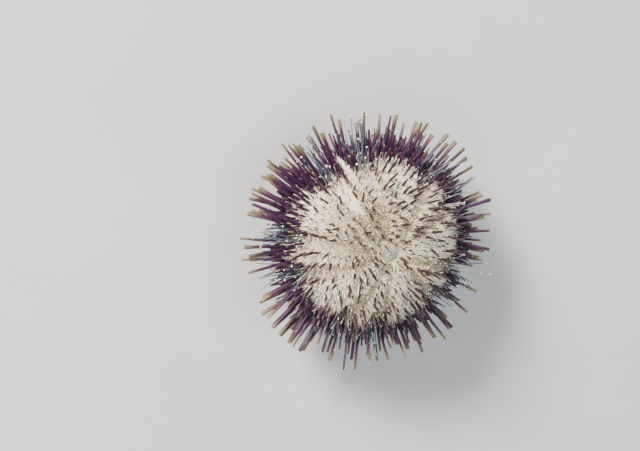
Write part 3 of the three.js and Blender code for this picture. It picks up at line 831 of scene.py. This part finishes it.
# The tube feet: wet, translucent, blue-grey tubes that come out of the pore zones and end in a
# white sucker disc. The longest reach past the spines, those on the top are few and drawn in short.
FEET_A_ZONE = 84
FOOT_SHARE = [(-1, 1), (0.5, 1), (0.72, 0.35), (1, 0.2)]
FOOT_LENGTH = [(-1, 4), (-0.6, 7), (-0.2, 16), (0.25, 18), (0.45, 10), (0.62, 3), (1, 1.5)]
SUCKER_SHARE = [(-1, 1), (0.45, 1), (0.65, 0.6), (1, 0.5)]
SUCKER_STEPS = (0.34, 0.18, 0.05, 0.0)
FOOT_LIMITS = (1.2, 50.0)

turn = np.tile(turn_of_row((np.arange(FEET_A_ZONE) + 0.5) / FEET_A_ZONE), 2 * FOLDS)
zone = np.repeat(np.arange(2 * FOLDS), FEET_A_ZONE)
zone_side = np.where(zone % 2, 1, -1) * AMBULACRUM_ANGLE / 2
azimuth = FIRST_AMBULACRUM + (zone // 2) * FOLD_ANGLE + zone_side
count = len(turn)
turn = turn + chance.normal(0, 0.02, count)
azimuth = azimuth + chance.normal(0, 0.75, count) / outline(turn)[0]
keep = chance.uniform(0, 1, count) < along(FOOT_SHARE, on_shell(turn, azimuth)[1][:, 2])
turn, azimuth = kept(keep, turn, azimuth)
count = len(turn)
root, out, ahead, length = stand(turn, azimuth, FOOT_LENGTH, (0.34, 1.12), 0.29, 0.22, *FOOT_LIMITS)
bend = any_side(ahead) * (chance.normal(0, 0.11, count) * length)[:, None]
stem = np.outer(chance.uniform(0.17, 0.25, count), (1.3, 1.1, 1.0, 0.85, 0.75))
sucker = chance.uniform(0.34, 0.50, count) * along(SUCKER_SHARE, out[:, 2])
half = np.concatenate([stem, np.outer(sucker, (0.85, 1.0, 0.8))], 1)
stem_reach = ring_reach(length, 0.4, (0.25, 0.5, 0.75))

foot_paint = Paint("tube_foot", 0.2, 0.5)
foot_colour = foot_paint.shades(foot_paint.noise(600.0), (0.3, 90, 104, 124), (0.7, 126, 138, 153))
foot_colour = foot_paint.mix(foot_paint.value("Pale"), foot_colour, srgb(206, 196, 178))
foot_paint.colour(foot_paint.mix(foot_paint.value("Tip"), foot_colour, srgb(244, 243, 238)))
foot_paint.set({"Transmission Weight": 0.55, "IOR": 1.38})
foot_paint.bump(foot_paint.noise(2500.0, 2.0), 0.03)
feet = grow(
    "tube_feet", root, ahead, any_side(ahead),
    np.concatenate([stem_reach, length[:, None] - np.array([SUCKER_STEPS])], 1),
    half, half, bend,
    skin_map(turn, azimuth), foot_paint, "tube_foot", 7,
    {"Pale": np.clip((out[:, 2] - 0.35) / 0.25, 0, 1)},
)
set_values(feet, "Tip", np.repeat(np.tile([0, 0, 0, 0, 0.2, 1, 1, 1], count), 7))

# The pincers: tiny stalked grippers with pale round heads, scattered over the whole skin among
# the spines. A stalk is bare and thin up to the head.
PINCER_SPACING = 2.3
PINCER_LENGTH = [(-1, 2.6), (0, 3.6), (0.6, 3.0), (1, 2.4)]
HEAD_STEPS = (2.4, 1.9, 0.8, 0.0)

turn, azimuth = even_places(PINCER_SPACING, FIRST_TURN, LAST_TURN)
count = len(turn)
turn = np.clip(turn + chance.normal(0, 0.03, count), FIRST_TURN, LAST_TURN)
root, out = on_shell(turn, azimuth)
ahead = leaning_loosely(out, 0.25, 0.25)
length = along(PINCER_LENGTH, out[:, 2]) * chance.uniform(0.8, 1.3, count)
head = chance.uniform(0.16, 0.27, count)
head_reach = length[:, None] - np.outer(head, HEAD_STEPS)
half = np.outer(head, (0.3, 0.22, 0.8, 1.0, 0.35))
pincer_paint = Paint("pincer", 0.4, 0.4)
pincer_paint.clouds(1500.0, 3.0, (0.35, 222, 206, 196), (0.65, 250, 246, 240))
grow(
    "pincers", root, ahead, any_side(ahead),
    np.concatenate([np.full((count, 1), -0.3), head_reach], 1),
    half, half, any_side(ahead) * 0.3,
    skin_map(turn, azimuth), pincer_paint, "shell_and_spines", 5,
)

# The apical disc: five large plates with a pore each, one of them the sieve plate, five small
# plates between them, and grooves at the joints. It is hard, beige and dull, under its own
# short spines.
DISC_OUTER = 5.25
DISC_INNER = 1.95
DISC_ROWS = 34
DISC_COLUMNS = 220
PORE_WIDTH = 0.26
SIEVE_RADIUS = 1.25


def ring_piece(name, x, y, height, paint, slot, replaced):
    """A closed surface from a grid of points about the axis. Every row is a closed ring round it,
    and the last row joins the first. The rows run outwards over the top and back underneath."""
    points = np.stack([x, y, height], -1) + AXIS
    rows, columns = height.shape
    row, column = np.meshgrid(np.arange(rows), np.arange(columns), indexing="ij")
    here, below, beside = row * columns, (row + 1) % rows * columns, (column + 1) % columns
    faces = np.stack([here + column, below + column, below + beside, here + beside], -1)
    starts = np.arange(rows * columns) * 4
    piece = add_piece(name, points.reshape(-1, 3), faces.ravel(), starts, paint, slot, replaced)
    around = np.stack([column, column, column + 1, column + 1], -1) / columns
    outwards = np.stack([row, row + 1, row + 1, row], -1) / rows
    set_map(piece, "OFBake", np.stack([around.ravel(), outwards.ravel()], -1))


def ring_grid(radii, heights, columns):
    """Rows of points round the axis at these radii and heights, with their azimuths."""
    azimuth = np.arange(columns) * 2 * np.pi / columns
    return np.broadcast_arrays(radii[:, None], heights[:, None], azimuth[None])


def plates(x, y, centres, sizes):
    """A relief of plates: each place belongs to the plate whose centre is nearest for its size.
    Returns how near the middle of its plate a place is, and how near a joint between plates, by
    a bell curve of how much further the next plate is."""
    gaps = np.hypot(x[..., None] - centres[:, 0], y[..., None] - centres[:, 1]) / sizes
    ordered = np.sort(gaps, axis=-1)
    return np.clip(1 - ordered[..., 0], 0, 1), np.exp(-(((ordered[..., 1] - ordered[..., 0]) / 0.12) ** 2))


disc_level = float(outline(np.array(FIRST_TURN))[1])
disc_radii = np.concatenate([np.linspace(DISC_INNER, DISC_OUTER, DISC_ROWS), [DISC_OUTER, DISC_INNER]])
disc_heights = outline(np.arcsin(disc_radii / SHELL_RADIUS))[1]
disc_heights[DISC_ROWS:] = disc_level - 1.0
radius, height, azimuth = ring_grid(disc_radii, disc_heights, DISC_COLUMNS)
plate_azimuth = FIRST_AMBULACRUM + np.arange(10) * FOLD_ANGLE / 2
large = np.arange(10) % 2 == 1
plate_radius = np.where(large, 3.3, 4.5)
plate_centres = np.stack([plate_radius * np.cos(plate_azimuth), plate_radius * np.sin(plate_azimuth)], -1)
x, y = radius * np.cos(azimuth), radius * np.sin(azimuth)
crown, joint = plates(x, y, plate_centres, np.where(large, 1.7, 0.95))
relief = 0.42 * np.sqrt(crown) - 0.28 * joint
for pore_x, pore_y in 1.18 * plate_centres[large]:
    relief -= 0.45 * np.exp(-((np.hypot(x - pore_x, y - pore_y) / PORE_WIDTH) ** 2))
sieve = np.hypot(x - plate_centres[1, 0], y - plate_centres[1, 1]) < SIEVE_RADIUS
relief += np.where(sieve, 0.10 * np.sin(x * 22) * np.sin(y * 22), 0)
on_top = (np.arange(len(disc_radii)) < DISC_ROWS)[:, None]
height = height + (relief + 0.1) * on_top
apical_paint = Paint("apical_plates", 0.6, 0.35)
apical_stops = [(0.3, 176, 158, 134), (0.5, 200, 185, 160), (0.7, 218, 206, 184)]
apical_paint.bump(apical_paint.clouds(1100.0, 4.0, *apical_stops), 0.1)
ring_piece("apical_disc_plates", x, y, height, apical_paint, "shell_and_spines", ["apical_disc"])

# The periproct: the soft wet skin inside the apical disc, a low grey dome set with little scales
# in spirals, with the closed vent near its middle.
VENT_RADIUS = 2.65
VENT_ROWS = 40
VENT_COLUMNS = 180
VENT_SCALES = 34


def spiral_centres(count, inner, width):
    """Centres of small plates, each one golden angle further round, at a radius that grows from
    the inner one with the square root of the plate's number."""
    index = np.arange(count)
    radius = inner + width * np.sqrt((index + 0.5) / count)
    return np.stack([radius * np.cos(index * GOLDEN_ANGLE), radius * np.sin(index * GOLDEN_ANGLE)], -1)


vent_radii = np.concatenate([np.linspace(0.02, VENT_RADIUS, VENT_ROWS), [VENT_RADIUS, 0.02]])
dome = disc_level + 0.72 + 0.6 * (1 - (vent_radii / VENT_RADIUS) ** 2)
dome[VENT_ROWS:] = disc_level - 0.5
radius, height, azimuth = ring_grid(vent_radii, dome, VENT_COLUMNS)
radius = radius * (1 + 0.11 * np.cos(2 * azimuth - 0.9) + 0.06 * np.cos(3 * azimuth + 0.5))
x, y = radius * np.cos(azimuth), radius * np.sin(azimuth)
crown, joint = plates(x, y, spiral_centres(VENT_SCALES, 0.42, 2.2), np.full(VENT_SCALES, 0.62))
vent_gap = np.hypot(x - 0.15, y + 0.1)
vent_lip = 0.18 * np.exp(-(((vent_gap - 0.35) / 0.12) ** 2)) - 0.55 * np.exp(-((vent_gap / 0.2) ** 2))
on_top = (np.arange(len(vent_radii)) < VENT_ROWS)[:, None]
relief = (0.16 * np.sqrt(crown) - 0.12 * joint + vent_lip) * on_top
vent_paint = Paint("vent_skin", 0.28, 0.5)
vent_stops = [(0.3, 98, 101, 97), (0.5, 128, 131, 124), (0.7, 158, 158, 149)]
vent_paint.bump(vent_paint.clouds(1300.0, 3.0, *vent_stops), 0.06)
ring_piece("periproct_skin", x, y, height + relief, vent_paint, "membrane", ["periproct"])

# The peristome: the soft skin round the mouth, with radial folds, scattered small plates and a
# thick lip round the tooth tips. It is wet and leathery, pinkish brown.
MOUTH_OUTER = 7.25
LIP_OUTER = 2.9
MOUTH_ROWS = 46
LIP_ROWS = 14
MOUTH_COLUMNS = 300
MOUTH_PLATES = 90

mouth_level = float(outline(np.array(LAST_TURN))[1])
outer = np.linspace(MOUTH_OUTER, LIP_OUTER, MOUTH_ROWS)
bulge = np.sin((MOUTH_OUTER - outer) / (MOUTH_OUTER - LIP_OUTER) * np.pi)
outer_heights = mouth_level + 0.3 + 0.35 * bulge
lip = np.linspace(0, np.pi, LIP_ROWS)
lip_heights = mouth_level + 0.15 - 0.62 * np.sin(lip)
back = mouth_level + 1.6
mouth_radii = np.concatenate([[MOUTH_OUTER], outer, 2.3 + 0.55 * np.cos(lip), [1.7, 1.7]])
mouth_heights = np.concatenate([[back], outer_heights, lip_heights, [mouth_level + 0.8, back]])
radius, height, azimuth = ring_grid(mouth_radii, mouth_heights, MOUTH_COLUMNS)
radial_folds = np.sin(60 * azimuth + 2 * np.sin(5 * azimuth)) * np.clip((radius - 1.8) / 2, 0, 1)
round_folds = np.sin(radius * 7 + np.sin(5 * azimuth))
x, y = radius * np.cos(azimuth), radius * np.sin(azimuth)
crown, _ = plates(x, y, spiral_centres(MOUTH_PLATES, 3.1, 3.9), np.full(MOUTH_PLATES, 0.36))
row_number = np.arange(len(mouth_radii))[:, None]
soft = (row_number > 0) & (row_number < len(mouth_radii) - 2)
relief = (0.10 * radial_folds + 0.09 * round_folds + 0.14 * np.sqrt(crown)) * soft
mouth_paint = Paint("mouth_skin", 0.36, 0.5)
mouth_paint.clouds(420.0, 4.0, (0.3, 150, 104, 92), (0.5, 182, 140, 122), (0.72, 206, 174, 152))
mouth_paint.bump(mouth_paint.noise(1500.0, 3.0), 0.08)
ring_piece("mouth_skin", x, y, height - relief, mouth_paint, "membrane", ["peristome"])

# The mouth feet: ten short thick tube feet in pairs on the skin round the mouth, of the same
# leathery skin. Each swells into a flattened pad at its end.
def round_mouth(azimuth, slope):
    """Level directions outwards at these azimuths, and directions down that lean out by a slope."""
    out = np.stack([np.cos(azimuth), np.sin(azimuth), np.zeros(len(azimuth))], -1)
    return out, unit(slope * out - np.array([0, 0, 1.0]))


index = np.arange(10)
azimuth = FIRST_AMBULACRUM + (index // 2) * FOLD_ANGLE + np.where(index % 2, 0.23, -0.23)
out, ahead = round_mouth(azimuth, 0.25)
one = np.ones((10, 1))
grow(
    "mouth_feet", 4.7 * out + AXIS + np.array([0, 0, mouth_level + 0.5]),
    ahead, sideways(ahead, np.zeros(10)),
    one * [[-0.4, 0.3, 0.8, 1.3, 1.55, 1.9, 2.1]],
    one * [[0.6, 0.5, 0.36, 0.34, 0.5, 0.62, 0.5]],
    one * [[0.6, 0.5, 0.36, 0.34, 0.42, 0.48, 0.38]],
    np.zeros((10, 3)),
    np.stack([0.1 + 0.08 * index, np.full(10, 0.9)], -1), mouth_paint, "membrane", 10,
)

# The teeth: five hard ivory-white blades, curved in so that their points meet in the mouth. Each
# is rooted behind the mouth skin and narrows to its point.
index = np.arange(5)
out, ahead = round_mouth(FIRST_AMBULACRUM + (index + 0.5) * FOLD_ANGLE, -0.10)
one = np.ones((5, 1))
tooth_paint = Paint("tooth", 0.22, 0.5)
tooth_paint.bump(tooth_paint.clouds(900.0, 3.0, (0.3, 226, 214, 190), (0.6, 246, 241, 228)), 0.03)
teeth = grow(
    "teeth", out * 1.25 + AXIS + np.array([0, 0, mouth_level + 0.7]),
    ahead, np.cross(ahead, out),
    one * [[-1.3, 0.4, 1.0, 1.6, 2.1, 2.5, 2.75]],
    one * [[0.56, 0.56, 0.54, 0.46, 0.34, 0.19, 0.06]],
    one * [[0.36, 0.36, 0.34, 0.30, 0.23, 0.14, 0.05]],
    -0.88 * out,
    np.stack([0.1 + 0.15 * index, np.full(5, 0.8)], -1), tooth_paint, "tooth", 8,
)
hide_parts(*[f"tooth_{n}" for n in range(1, 6)])
